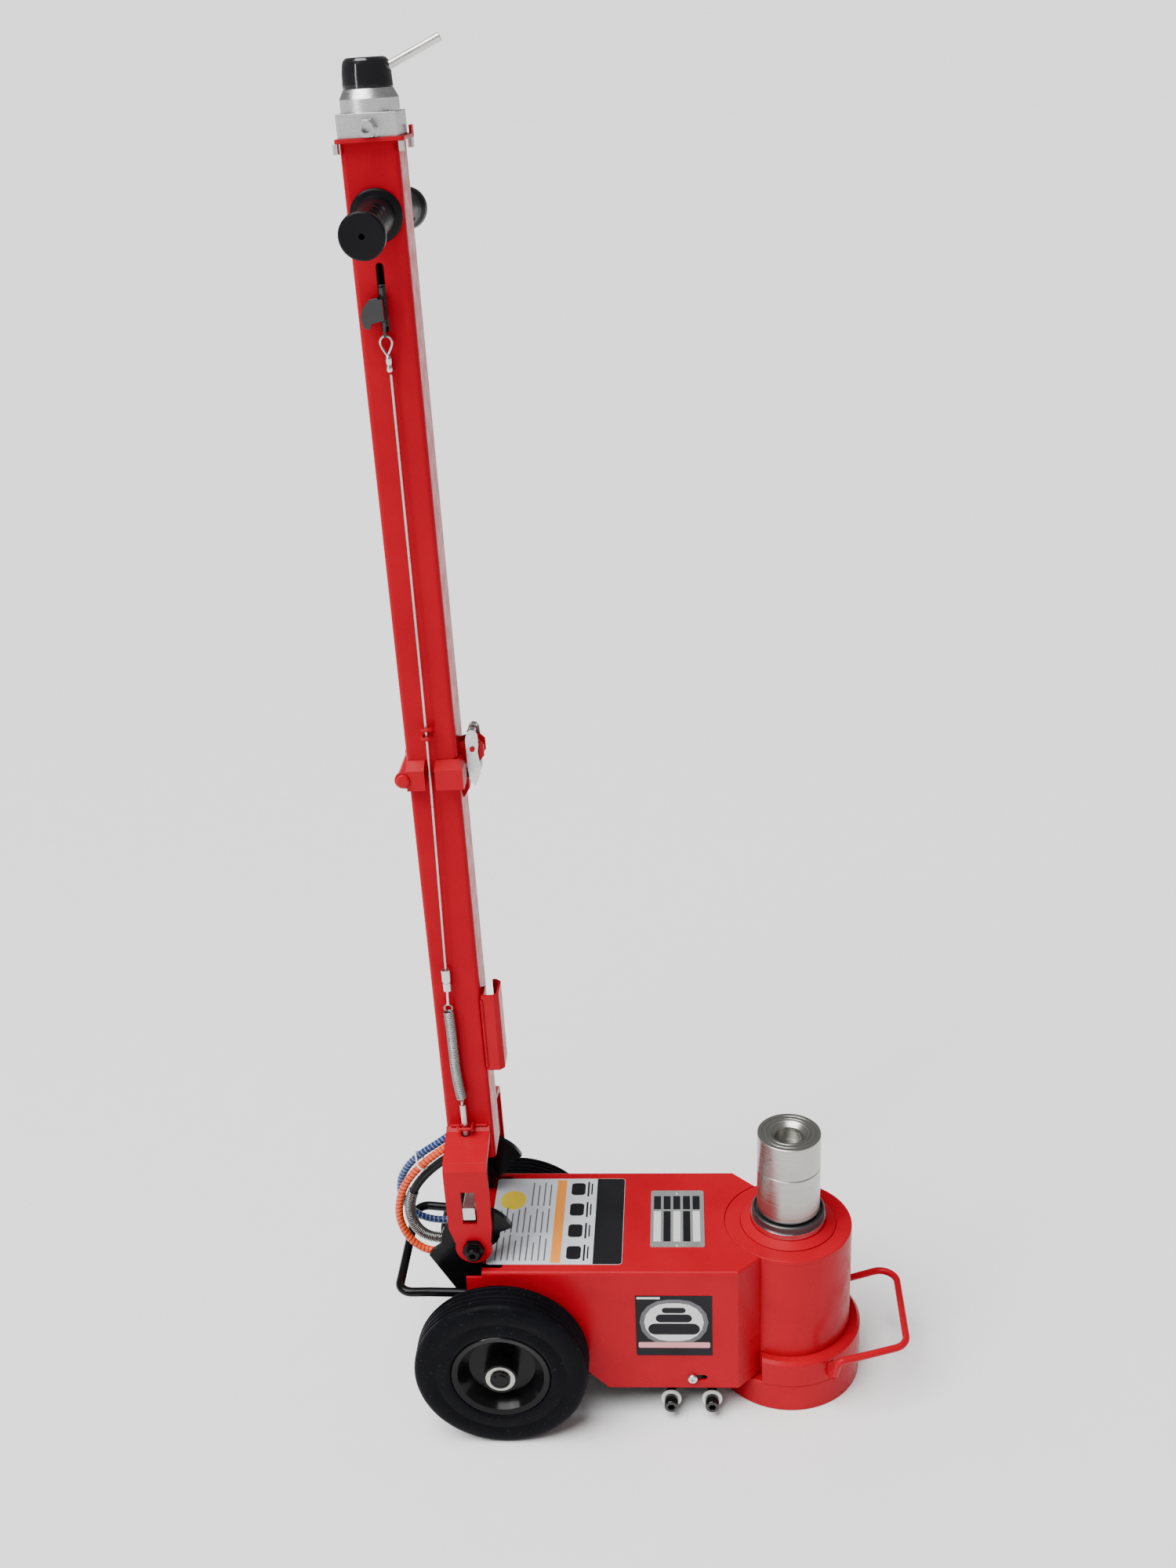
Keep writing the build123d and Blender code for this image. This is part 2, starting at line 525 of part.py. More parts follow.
def release_lever():
    """Flat strip in the slot with a thumb tab, and an eye that the cable loop hooks through."""
    strip = block(LINE_X - 2, LINE_X + 2, -37.5, -22, 1146, 1186)
    strip += block(LINE_X - 12, LINE_X + 12, -26.6, -22, 1140, 1188)
    tail = block(LINE_X - 1.4, LINE_X + 1.4, -40, -34, 1136, 1152)
    tail -= rod_x(1.7, -10, 10, -37, 1137.6)
    tab_outline = [(-3, 1178), (-13, 1176), (-20, 1168), (-23, 1158), (-21, 1148), (-15, 1146),
                   (-12, 1152), (-3, 1154)]
    tab = plate_xz(tab_outline, -50, -38)
    tab = fillet(tab.edges().filter_by(Axis.Y), 1.5) + block(-4, 1, -50, -36.5, 1154, 1176)
    save("release_lever", on_handle(strip + tail), on_handle(tab - strip - tail))

    loop = Pos(LINE_X, -37, 1131) * Rot(90, 0, 0) * Torus(6.5, 1.3)
    ferrule = ring(3.4, 1.5, 1100, 1121, -0.5, -36.5)
    save("cable_eye", on_handle(loop), on_handle(ferrule))


def head():
    flange = extrude(Plane.XY.offset(UPPER_TOP) * RectangleRounded(71, 74, 4), 4)
    tongue = Pos(33.9, 28, UPPER_TOP + 6) * Box(3, 14, 12)
    save("head_flange", on_handle(Pos(HEAD_X + 1.5, 0, 0) * (flange + tongue)))

    z0 = UPPER_TOP + 4.1
    body = block(HEAD_X - 31, HEAD_X + 31, -31, 31, z0, 1353)
    body = chamfer(body.edges().filter_by(Axis.Z), 1.2)
    neck = disc(30, 1353, 1366, HEAD_X) + Pos(HEAD_X, 0, 1366) * Cone(30, 25, 9.5, align=LOW)
    tap = rod_y(6, 25, 41, HEAD_X + 14, 1359.5)
    save("valve_head", on_handle(body + neck + tap))

    screws = []
    for x in (-32.4, 33.4):
        for y in (-33, 33):
            nut = extrude(Plane.XY.offset(UPPER_TOP - 10) * Pos(x, y) * RegularPolygon(3.6, 6), 9.9)
            screws.append(nut - block(-30.1, 30.1, -30.1, 30.1, 1300, 1330))
    save("head_screws", *[on_handle(s) for s in screws])

    inlet = hex_y(17, -31.1, -36, HEAD_X + 1, 1339) + rod_y(7.8, -36, -44, HEAD_X + 1, 1339)
    save("air_inlet", on_handle(inlet - rod_y(4.5, -33, -50, HEAD_X + 1, 1339)))

    knob = lathe([(0, 1375.8), (25.4, 1375.8), (25.4, 1379), (24.9, 1390), (23.8, 1398), (22.6, 1401),
                  (20.6, 1403), (18, 1404), (0, 1404)])
    axis = Vector(1, 0.05, 0.44).normalized()
    start = Vector(14, 0, 1391)
    hole = rod_between(tuple(start), tuple(start + axis * 60), 4.3)
    save("control_knob", on_handle(Pos(HEAD_X, 0, 0) * (knob - hole)))
    lever = rod_between(tuple(start + axis * 0.5), tuple(start + axis * 68), 4.2)
    save("control_lever", on_handle(Pos(HEAD_X, 0, 0) * lever))


# ---------------------------------------------------------------- air hoses across the pivot
def hoses():
    """Three free loops from the notch in the lower tube to the ports on the cross plate."""
    routes = {
        "orange_hose": [(-404, -13, 430), (-408, -13, 407), (-419, -13, 387), (-435, -13, 371),
                        (-459, -14, 354), (-484, -17, 334), (-504, -20, 309), (-514, -23, 278),
                        (-513, -25, 250), (-500, -28, 224), (-477, -30, 208), (PORT_TIP, -30, 208)],
        "blue_hose": [(-404, 1, 438), (-408, 1, 415), (-419, 0, 395), (-437, 0, 377),
                      (-460, 2, 358), (-484, 6, 339), (-504, 11, 316), (-516, 15, 291),
                      (-518, 19, 265), (-512, 23, 242), (-498, 26, 224), (-477, 28, 214),
                      (PORT_TIP, 28, 214)],
        "black_hose": [(-391, 8, 424), (-394, 8, 400), (-402, 8, 378), (-415, 7, 358),
                       (-434, 5, 343), (-457, 3, 329), (-480, 1, 309), (-497, 0, 285),
                       (-504, -1, 260), (-502, -2, 238), (-492, -3, 219), (-475, -3, 209),
                       (PORT_TIP, -3, 209)],
    }
    for node, route in routes.items():
        save(node, tube_along(route, HOSE_R[node], node))


ram_column()
body_cover()
cover_screws()
labels()
frame_plates()
hose_bulkhead()
axle()
pivot_bolts()
rods()
pump()
wheels()
lower_handle()
accessory_clip()
lock_line()
release_cable()
upper_handle()
latch()
grips()
release_lever()
head()
hoses()
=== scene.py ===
import math

import bmesh
import bpy
from mathutils import Matrix, Vector


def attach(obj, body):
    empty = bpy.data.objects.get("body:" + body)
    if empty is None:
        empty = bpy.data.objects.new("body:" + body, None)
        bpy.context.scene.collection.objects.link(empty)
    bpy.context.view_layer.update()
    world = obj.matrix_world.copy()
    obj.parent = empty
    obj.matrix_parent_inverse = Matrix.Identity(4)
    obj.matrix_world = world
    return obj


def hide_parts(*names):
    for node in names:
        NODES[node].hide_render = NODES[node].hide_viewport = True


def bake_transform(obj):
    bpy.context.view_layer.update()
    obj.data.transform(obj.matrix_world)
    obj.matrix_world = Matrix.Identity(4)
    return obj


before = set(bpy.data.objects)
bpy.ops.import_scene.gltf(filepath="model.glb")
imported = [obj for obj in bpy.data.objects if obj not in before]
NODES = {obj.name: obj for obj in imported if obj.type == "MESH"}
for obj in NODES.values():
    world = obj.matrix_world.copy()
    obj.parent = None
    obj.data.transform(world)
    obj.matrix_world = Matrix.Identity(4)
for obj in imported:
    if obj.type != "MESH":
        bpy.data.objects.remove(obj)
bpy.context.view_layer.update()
MM = 0.001

# ---------------------------------------------------------------- the handle's own frame
PIVOT = Vector((-0.407, 0, 0.264))
LEAN = math.radians(1.15)
HANDLE = Matrix.Translation(PIVOT) @ Matrix.Rotation(-LEAN, 4, "Y")


def hp(x, y, z):
    """A point of the handle's frame, in mm, as a point of the row frame, in metres."""
    return HANDLE @ Vector((x * MM, y * MM, z * MM))


# ---------------------------------------------------------------- camera and light
CAMERA_PLACE = (-0.127549, -1.810691, 1.6711)
CAMERA_TURN = (-0.063, -0.415, -0.041)      # yaw, pitch and roll, in radians
LENS, SENSOR = 38.53, 36.0
WORLD_LIGHT = 0.27                          # strength of the world as a light on the object
BACKDROP = 1.75                             # strength of the world where the camera sees it
SUN_ENERGY, SUN_ANGLE = 5.6, 50
FLOOR_HALF = 40


def camera():
    yaw, pitch, roll = CAMERA_TURN
    fwd = Vector((math.sin(yaw) * math.cos(pitch), math.cos(yaw) * math.cos(pitch), math.sin(pitch)))
    right = Vector((math.cos(yaw), -math.sin(yaw), 0))
    up = right.cross(fwd)
    r2 = math.cos(roll) * right + math.sin(roll) * up
    u2 = -math.sin(roll) * right + math.cos(roll) * up
    data = bpy.data.cameras.new("camera")
    data.lens = LENS
    data.sensor_width = SENSOR
    data.clip_end = 200
    cam = bpy.data.objects.new("camera", data)
    basis = Matrix((r2, u2, -fwd)).transposed().to_4x4()
    cam.matrix_world = Matrix.Translation(CAMERA_PLACE) @ basis
    bpy.context.scene.collection.objects.link(cam)
    bpy.context.scene.camera = cam


def area(name, place, target, size, energy):
    data = bpy.data.lights.new(name, "AREA")
    data.shape = "RECTANGLE"
    data.size, data.size_y = size
    data.energy = energy
    lamp = bpy.data.objects.new(name, data)
    lamp.location = place
    aim = Vector(target) - Vector(place)
    lamp.rotation_euler = aim.to_track_quat("-Z", "Y").to_euler()
    bpy.context.scene.collection.objects.link(lamp)


def studio():
    world = bpy.data.worlds.new("world")
    bpy.context.scene.world = world
    world.use_nodes = True
    tree = world.node_tree
    back = tree.nodes["Background"]
    back.inputs["Color"].default_value = (1, 1, 1, 1)
    back.inputs["Strength"].default_value = WORLD_LIGHT
    backdrop = tree.nodes.new("ShaderNodeBackground")
    backdrop.inputs["Color"].default_value = (1, 1, 1, 1)
    backdrop.inputs["Strength"].default_value = BACKDROP
    ray = tree.nodes.new("ShaderNodeLightPath")
    blend = tree.nodes.new("ShaderNodeMixShader")
    tree.links.new(ray.outputs["Is Camera Ray"], blend.inputs[0])
    tree.links.new(back.outputs[0], blend.inputs[1])
    tree.links.new(backdrop.outputs[0], blend.inputs[2])
    tree.links.new(blend.outputs[0], tree.nodes["World Output"].inputs["Surface"])
    sun = bpy.data.lights.new("sky_panel", "SUN")
    sun.energy = SUN_ENERGY
    sun.angle = math.radians(SUN_ANGLE)
    lamp = bpy.data.objects.new("sky_panel", sun)
    lamp.rotation_euler = Vector((0.35, 0.30, -1)).to_track_quat("-Z", "Y").to_euler()
    bpy.context.scene.collection.objects.link(lamp)
    area("key", (-1.9, -1.6, 1.9), (-0.3, 0, 0.6), (0.12, 1.8), 14)
    mesh = bpy.data.meshes.new("floor")
    s = FLOOR_HALF
    mesh.from_pydata([(-s, -s, 0), (s, -s, 0), (s, s, 0), (-s, s, 0)], [], [(0, 1, 2, 3)])
    floor = bpy.data.objects.new("floor", mesh)
    bpy.context.scene.collection.objects.link(floor)
    pale = material("floor_white", (0.94, 0.94, 0.94), 0.9, vary=0.005, bump=0.0, specular=0.0)
    floor.data.materials.append(pale)


# ---------------------------------------------------------------- materials
def socket(node, *names):
    for n in names:
        if n in node.inputs:
            return node.inputs[n]
    raise KeyError(names)


def turned_coordinates(nodes, links, where):
    """(distance from the Z axis, 0, height), so that the grain runs round a turned piece."""
    split = nodes.new("ShaderNodeSeparateXYZ")
    links.new(where, split.inputs[0])
    x_squared = nodes.new("ShaderNodeMath")
    x_squared.operation = "MULTIPLY"
    links.new(split.outputs[0], x_squared.inputs[0])
    links.new(split.outputs[0], x_squared.inputs[1])
    both = nodes.new("ShaderNodeMath")
    both.operation = "MULTIPLY_ADD"
    links.new(split.outputs[1], both.inputs[0])
    links.new(split.outputs[1], both.inputs[1])
    links.new(x_squared.outputs[0], both.inputs[2])
    root = nodes.new("ShaderNodeMath")
    root.operation = "SQRT"
    links.new(both.outputs[0], root.inputs[0])
    join = nodes.new("ShaderNodeCombineXYZ")
    links.new(root.outputs[0], join.inputs[0])
    links.new(split.outputs[2], join.inputs[2])
    return join.outputs[0]


def material(name, colour, rough, metallic=0.0, coat=0.0, vary=0.08, vary_scale=18, bump=0.15,
             bump_scale=220, rough_vary=0.08, rough_scale=60, speck=None, round_edge=0.0, turned=None,
             stretch=None, specular=0.5):
    """Procedural finish: uneven colour, uneven roughness and a fine bump; round_edge is in mm."""
    mat = bpy.data.materials.new(name)
    mat.use_nodes = True
    nt = mat.node_tree
    nodes, links = nt.nodes, nt.links
    bsdf = nodes["Principled BSDF"]
    bsdf.inputs["Metallic"].default_value = metallic
    socket(bsdf, "Coat Weight", "Coat").default_value = coat
    socket(bsdf, "Coat Roughness").default_value = 0.12
    socket(bsdf, "Specular IOR Level", "Specular").default_value = specular
    coords = nodes.new("ShaderNodeTexCoord")
    where = coords.outputs["Object"]
    fine_where = where
    if turned:
        fine_where = turned_coordinates(nodes, links, where)
    elif stretch:
        mapping = nodes.new("ShaderNodeMapping")
        mapping.inputs["Scale"].default_value = stretch
        links.new(where, mapping.inputs["Vector"])
        fine_where = mapping.outputs[0]

    tone = nodes.new("ShaderNodeTexNoise")
    tone.inputs["Scale"].default_value = vary_scale
    tone.inputs["Detail"].default_value = 3
    links.new(where, tone.inputs["Vector"])
    ramp = nodes.new("ShaderNodeValToRGB")
    low = [c * (1 - vary) for c in colour]
    high = [min(1.0, c * (1 + vary)) for c in colour]
    ramp.color_ramp.elements[0].position = 0.32
    ramp.color_ramp.elements[0].color = (*low, 1)
    ramp.color_ramp.elements[1].position = 0.68
    ramp.color_ramp.elements[1].color = (*high, 1)
    links.new(tone.outputs["Fac"], ramp.inputs["Fac"])
    base = ramp.outputs["Color"]
    if speck:
        dots = nodes.new("ShaderNodeTexNoise")
        dots.inputs["Scale"].default_value = speck[1]
        dots.inputs["Detail"].default_value = 2
        links.new(where, dots.inputs["Vector"])
        cut = nodes.new("ShaderNodeValToRGB")
        cut.color_ramp.elements[0].position = speck[2]
        cut.color_ramp.elements[0].color = (0, 0, 0, 1)
        cut.color_ramp.elements[1].position = min(1.0, speck[2] + 0.06)
        cut.color_ramp.elements[1].color = (1, 1, 1, 1)
        links.new(dots.outputs["Fac"], cut.inputs["Fac"])
        mix = nodes.new("ShaderNodeMix")
        mix.data_type = "RGBA"
        links.new(cut.outputs["Color"], mix.inputs[0])
        links.new(base, mix.inputs[6])
        mix.inputs[7].default_value = (*speck[0], 1)
        base = mix.outputs[2]
    links.new(base, bsdf.inputs["Base Color"])

    streak = nodes.new("ShaderNodeTexNoise")
    streak.inputs["Scale"].default_value = rough_scale
    streak.inputs["Detail"].default_value = 4
    links.new(fine_where, streak.inputs["Vector"])
    span = nodes.new("ShaderNodeMapRange")
    span.inputs["From Min"].default_value = 0.3
    span.inputs["From Max"].default_value = 0.7
    span.inputs["To Min"].default_value = max(0.02, rough - rough_vary)
    span.inputs["To Max"].default_value = min(1.0, rough + rough_vary)
    links.new(streak.outputs["Fac"], span.inputs["Value"])
    links.new(span.outputs["Result"], bsdf.inputs["Roughness"])

    normal = None
    if round_edge:
        soft = nodes.new("ShaderNodeBevel")
        soft.samples = 4
        soft.inputs["Radius"].default_value = round_edge * MM
        normal = soft.outputs["Normal"]
    if bump:
        grain = nodes.new("ShaderNodeTexNoise")
        grain.inputs["Scale"].default_value = bump_scale
        grain.inputs["Detail"].default_value = 3
        links.new(fine_where, grain.inputs["Vector"])
        bumper = nodes.new("ShaderNodeBump")
        bumper.inputs["Strength"].default_value = bump
        bumper.inputs["Distance"].default_value = 0.0004
        links.new(grain.outputs["Fac"], bumper.inputs["Height"])
        if normal:
            links.new(normal, bumper.inputs["Normal"])
        normal = bumper.outputs["Normal"]
    if normal:
        links.new(normal, bsdf.inputs["Normal"])
    return mat


M = {}


def materials():
    M["red"] = material("red_enamel", (0.40, 0.0, 0.010), 0.32, coat=0.03, specular=0.09, vary=0.05,
                        bump=0.12,
                        bump_scale=160, round_edge=1.0)
    M["red_tube"] = material("red_enamel_tube", (0.38, 0.0, 0.010), 0.28, coat=0.02, specular=0.05,
                             vary=0.05,
                             bump=0.1, bump_scale=120, round_edge=0.8)
    M["red_weld"] = material("red_enamel_weld", (0.37, 0.0, 0.010), 0.36, coat=0.03, specular=0.08,
                             vary=0.08,
                             bump=0.5, bump_scale=300)
    M["black"] = material("black_enamel", (0.003, 0.003, 0.0035), 0.18, specular=0.12, coat=0.06,
                          vary=0.15,
                          bump=0.12, bump_scale=180, round_edge=0.8)
    M["tyre"] = material("tyre_rubber", (0.0035, 0.0035, 0.005), 0.5, vary=0.2, vary_scale=30, bump=0.3,
                         bump_scale=420, specular=0.04, speck=((0.015, 0.015, 0.016), 240, 0.66))
    M["zinc"] = material("zinc_plate", (0.60, 0.60, 0.60), 0.28, metallic=1.0, vary=0.07, bump=0.2,
                         bump_scale=260, round_edge=0.5)
    M["machined"] = material("turned_steel", (0.40, 0.395, 0.37), 0.3, metallic=1.0, vary=0.05, bump=0.5,
                             bump_scale=900, rough_scale=500, turned=True, round_edge=0.6)
    M["steel_bar"] = material("bright_bar", (0.60, 0.59, 0.57), 0.36, metallic=1.0, vary=0.08, bump=0.3,
                              bump_scale=300, stretch=(1, 0.06, 1), round_edge=0.6)
    M["chrome"] = material("chrome_rod", (0.74, 0.74, 0.75), 0.12, metallic=1.0, vary=0.02, bump=0.06,
                           bump_scale=700, turned=True, round_edge=0.6)
    M["dark_steel"] = material("blackened_steel", (0.10, 0.10, 0.105), 0.34, metallic=0.9, vary=0.15,
                               bump=0.25, bump_scale=600, turned=True, round_edge=0.6)
    M["alu"] = material("machined_aluminium", (0.60, 0.60, 0.60), 0.3, metallic=1.0, vary=0.04,
                        bump=0.25,
                        bump_scale=500, stretch=(1, 1, 8), round_edge=0.7)
    M["cast"] = material("cast_iron", (0.045, 0.045, 0.047), 0.6, metallic=0.3, vary=0.25, bump=0.6,
                         bump_scale=180, round_edge=1.2)
    M["grip"] = material("grip_rubber", (0.004, 0.004, 0.005), 0.4, vary=0.15, bump=0.3, bump_scale=380,
                         round_edge=0.8, specular=0.12)
    M["gloss"] = material("black_moulding", (0.006, 0.006, 0.007), 0.14, specular=0.4, coat=0.3,
                          vary=0.2, bump=0.08,
                          bump_scale=120, round_edge=0.8)
    M["white"] = material("white_plastic", (0.78, 0.78, 0.75), 0.4, vary=0.04, bump=0.1, round_edge=0.4)
    M["label"] = material("label_grey", (0.60, 0.63, 0.68), 0.38, coat=0.2, vary=0.04, vary_scale=40,
                          bump=0.06, bump_scale=500)
    M["plate"] = material("plate_metal", (0.66, 0.67, 0.67), 0.34, metallic=0.85, vary=0.05, bump=0.2,
                          bump_scale=500, stretch=(1, 0.05, 1))
    M["ink"] = material("label_ink", (0.012, 0.012, 0.014), 0.4, specular=0.1, vary=0.15, bump=0.05)
    M["ink_soft"] = material("label_soft", (0.13, 0.13, 0.14), 0.4, specular=0.1, vary=0.08, bump=0.05)
    M["ink_pale"] = material("label_pale", (0.66, 0.66, 0.65), 0.36, specular=0.15, vary=0.04, bump=0.05)
    M["ink_orange"] = material("label_orange", (0.82, 0.28, 0.04), 0.36, specular=0.15, vary=0.04,
                               bump=0.05)
    M["ink_yellow"] = material("label_yellow", (0.85, 0.62, 0.04), 0.36, specular=0.15, vary=0.04,
                               bump=0.05)
    M["ink_pink"] = material("label_pink", (0.72, 0.30, 0.32), 0.36, specular=0.15, vary=0.04, bump=0.05)
    M["orange"] = material("orange_hose_wall", (0.80, 0.085, 0.012), 0.3, specular=0.3, coat=0.15,
                           vary=0.06, bump=0.12)
    M["orange_dark"] = material("orange_hose_wrap", (0.36, 0.02, 0.008), 0.34, specular=0.3,
                                coat=0.1, vary=0.08, bump=0.15)
    M["blue"] = material("blue_hose_wall", (0.006, 0.03, 0.15), 0.28, specular=0.3, coat=0.15,
                         vary=0.1, bump=0.12)
    M["blue_pale"] = material("blue_hose_wrap", (0.20, 0.24, 0.32), 0.34, specular=0.3, coat=0.1,
                              vary=0.1, bump=0.12)
    M["hose"] = material("black_hose_wall", (0.008, 0.008, 0.009), 0.42, specular=0.3, vary=0.2,
                         bump=0.3, bump_scale=400)
    M["wire"] = material("spring_wire", (0.34, 0.34, 0.33), 0.3, metallic=1.0, vary=0.1, bump=0.15)
    M["wire_dark"] = material("oiled_spring_wire", (0.17, 0.17, 0.175), 0.3, metallic=0.95, vary=0.15,
                              bump=0.2, bump_scale=300)
    M["cable"] = material("cable_strand", (0.52, 0.51, 0.49), 0.36, metallic=1.0, vary=0.12, bump=0.2,
                          bump_scale=600)
    M["nylon"] = material("nylon_tie", (0.80, 0.79, 0.75), 0.42, vary=0.03, bump=0.08)

    look = {
        "red": ("base_plate base_collar oil_tank tank_top_ring gland_nut body_cover front_handle "
                "yoke_left yoke_right accessory_clip hinge_cuff fold_pin head_flange"),
        "red_tube": "lower_tube upper_tube",
        "black": ("pivot_bolts frame_plate_left frame_plate_right rear_cross_plate axle rear_handle "
                  "rim_left rim_right"),
        "dark_steel": "stage_one_ring",
        "machined": "pressure_cylinder lower_adapter upper_adapter bearing_left bearing_right",
        "chrome": "stage_one_ram stage_two_ram",
        "zinc": "cover_screws hose_fittings pull_rod cable_adjuster head_screws air_inlet latch_lever",
        "steel_bar": "lock_bar control_lever",
        "label": "instruction_plate",
        "plate": "rating_plate",
        "ink": "side_label",
        "cast": "valve_block air_motor",
        "gloss": "valve_caps release_lever control_knob",
        "white": "valve_washers",
        "orange": "orange_hose",
        "blue": "blue_hose",
        "hose": "black_hose",
        "tyre": "tyre_left tyre_right",
        "cable": "release_cable cable_eye",
        "wire_dark": "release_spring",
        "grip": "grip_left grip_right",
        "alu": "valve_head",
    }
    for key, names in look.items():
        for n in names.split():
            NODES[n].data.materials.clear()
            NODES[n].data.materials.append(M[key])


# ---------------------------------------------------------------- mesh helpers
def new_object(name, verts, faces, mats, smooth=True, indices=None):
    mesh = bpy.data.meshes.new(name)
    mesh.from_pydata([tuple(v) for v in verts], [], faces)
    for m in mats:
        mesh.materials.append(M[m])
    if indices:
        mesh.polygons.foreach_set("material_index", indices)
    mesh.polygons.foreach_set("use_smooth", [smooth] * len(mesh.polygons))
    mesh.validate()
    fix = bmesh.new()
    fix.from_mesh(mesh)
    bmesh.ops.recalc_face_normals(fix, faces=fix.faces)
    fix.to_mesh(mesh)
    fix.free()
    obj = bpy.data.objects.new(name, mesh)
    bpy.context.scene.collection.objects.link(obj)
    return obj


def spline_points(route):
    """Points along the smooth NURBS line of a route, in metres."""
    data = bpy.data.curves.new("route", "CURVE")
    data.dimensions = "3D"
    data.resolution_u = 24
    spline = data.splines.new("NURBS")
    spline.points.add(len(route) - 1)
    for point, place in zip(spline.points, route):
        point.co = (*place, 1)
    spline.order_u = 3
    spline.use_endpoint_u = True
    holder = bpy.data.objects.new("route", data)
    bpy.context.scene.collection.objects.link(holder)
    bpy.context.view_layer.update()
    mesh = bpy.data.meshes.new_from_object(holder)
    points = [v.co.copy() for v in mesh.vertices]
    bpy.data.objects.remove(holder)
    bpy.data.curves.remove(data)
    bpy.data.meshes.remove(mesh)
    return points


def resample(points, step):
    """Evenly spaced points along a line of points."""
    lengths = [0.0]
    for a, b in zip(points, points[1:]):
        lengths.append(lengths[-1] + (b - a).length)
    count = max(2, int(lengths[-1] / step))
    out, k = [], 0
    for i in range(count + 1):
        s = lengths[-1] * i / count
        while k < len(points) - 2 and lengths[k + 1] < s:
            k += 1
        span = lengths[k + 1] - lengths[k]
        out.append(points[k].lerp(points[k + 1], (s - lengths[k]) / span if span else 0))
    return out, lengths[-1]


def frames(points):
    """(tangent, normal, binormal) carried along a line without twist."""
    tangents = []
    for i in range(len(points)):
        a, b = points[max(0, i - 1)], points[min(len(points) - 1, i + 1)]
        tangents.append((b - a).normalized())
    side = tangents[0].orthogonal().normalized()
    result = []
    for t in tangents:
        side = (side - t * side.dot(t)).normalized()
        result.append((t, side, t.cross(side)))
    return result


def swept(name, points, radius, mats, sides=24, shape=None, band=None):
    """Closed tube along points; shape(i, angle) scales its radius, band(i, k) picks the material."""
    verts, faces, index = [], [], []
    basis = frames(points)
    for i, (p, (_, n, b)) in enumerate(zip(points, basis)):
        for k in range(sides):
            a = 2 * math.pi * k / sides
            r = radius * (shape(i, a) if shape else 1)
            verts.append(p + (n * math.cos(a) + b * math.sin(a)) * r)
    rings = len(points)
    for i in range(rings - 1):
        for k in range(sides):
            k2 = (k + 1) % sides
            faces.append((i * sides + k, i * sides + k2, (i + 1) * sides + k2, (i + 1) * sides + k))
            index.append(band(i, k) if band else 0)
    faces.append(tuple(range(sides)))
    faces.append(tuple((rings - 1) * sides + k for k in range(sides)))
    index += [0, 0]
    return new_object(name, verts, faces, mats, indices=index)


def helix(centre, radius, turns, per_turn=20, start=0.0):
    """Points of a coil round a line of points."""
    fine, _ = resample(centre, 0.0005)
    basis = frames(fine)
    count = int(turns * per_turn)
    out = []
    for i in range(count + 1):
        u = i / count * (len(fine) - 1)
        j = min(int(u), len(fine) - 1)
        _, n, b = basis[j]
        a = start + 2 * math.pi * i / per_turn
        out.append(fine[j] + (n * math.cos(a) + b * math.sin(a)) * radius)
    return out


def lathed(name, profile, centre, axis, mats, segments=96, index=None):
    """Turned piece: profile of (radius, along) in mm round an axis through centre."""
    axis = Vector(axis).normalized()
    n = axis.orthogonal().normalized()
    b = axis.cross(n)
    verts, faces, kinds = [], [], []
    for r, s in profile:
        for k in range(segments):
            a = 2 * math.pi * k / segments
            verts.append(Vector(centre) + axis * s * MM + (n * math.cos(a) + b * math.sin(a)) * r * MM)
    for i in range(len(profile) - 1):
        for k in range(segments):
            k2 = (k + 1) % segments
            faces.append((i * segments + k, i * segments + k2, (i + 1) * segments + k2,
                          (i + 1) * segments + k))
            kinds.append(index[i] if index else 0)
    return new_object(name, verts, faces, mats, indices=kinds)


# ---------------------------------------------------------------- air hoses
HOSES = {
    "orange_hose": [(-404, -13, 430), (-408, -13, 407), (-419, -13, 387), (-435, -13, 371),
                    (-459, -14, 354), (-484, -17, 334), (-504, -20, 309), (-514, -23, 278),
                    (-513, -25, 250), (-500, -28, 224), (-477, -30, 208), (-455, -30, 208)],
    "blue_hose": [(-404, 1, 438), (-408, 1, 415), (-419, 0, 395), (-437, 0, 377),
                  (-460, 2, 358), (-484, 6, 339), (-504, 11, 316), (-516, 15, 291),
                  (-518, 19, 265), (-512, 23, 242), (-498, 26, 224), (-477, 28, 214),
                  (-455, 28, 214)],
    "black_hose": [(-391, 8, 424), (-394, 8, 400), (-402, 8, 378), (-415, 7, 358),
                   (-434, 5, 343), (-457, 3, 329), (-480, 1, 309), (-497, 0, 285),
                   (-504, -1, 260), (-502, -2, 238), (-492, -3, 219), (-475, -3, 209),
                   (-455, -3, 209)],
}


def hose_tie(lines):
    """White cable tie that holds the orange and blue hoses together."""
    near = [min(lines[n], key=lambda p: abs(p.z - 0.3365)) for n in ("orange_hose", "blue_hose")]
    along = Vector((0.66, 0.0, 0.75)).normalized()
    across = (near[1] - near[0]).normalized()
    out = along.cross(across).normalized()
    ring = []
    for k in range(49):
        a = 2 * math.pi * k / 48
        centre = near[1] if math.cos(a) > 0 else near[0]
        ring.append(centre + across * math.cos(a) * 0.0064 + out * math.sin(a) * 0.0064)
    band = swept("cable_tie", ring, 0.0011, ["nylon"], 10)
    foot = near[0] + across * 0.004
    lock = swept("cable_tie_head", [foot - out * 0.0052, foot - out * 0.0098], 0.0030, ["nylon"], 8)
    for piece in (band, lock):
        bend_with_handle(piece)
    return [band, lock]


def bend_with_handle(obj):
    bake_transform(obj)


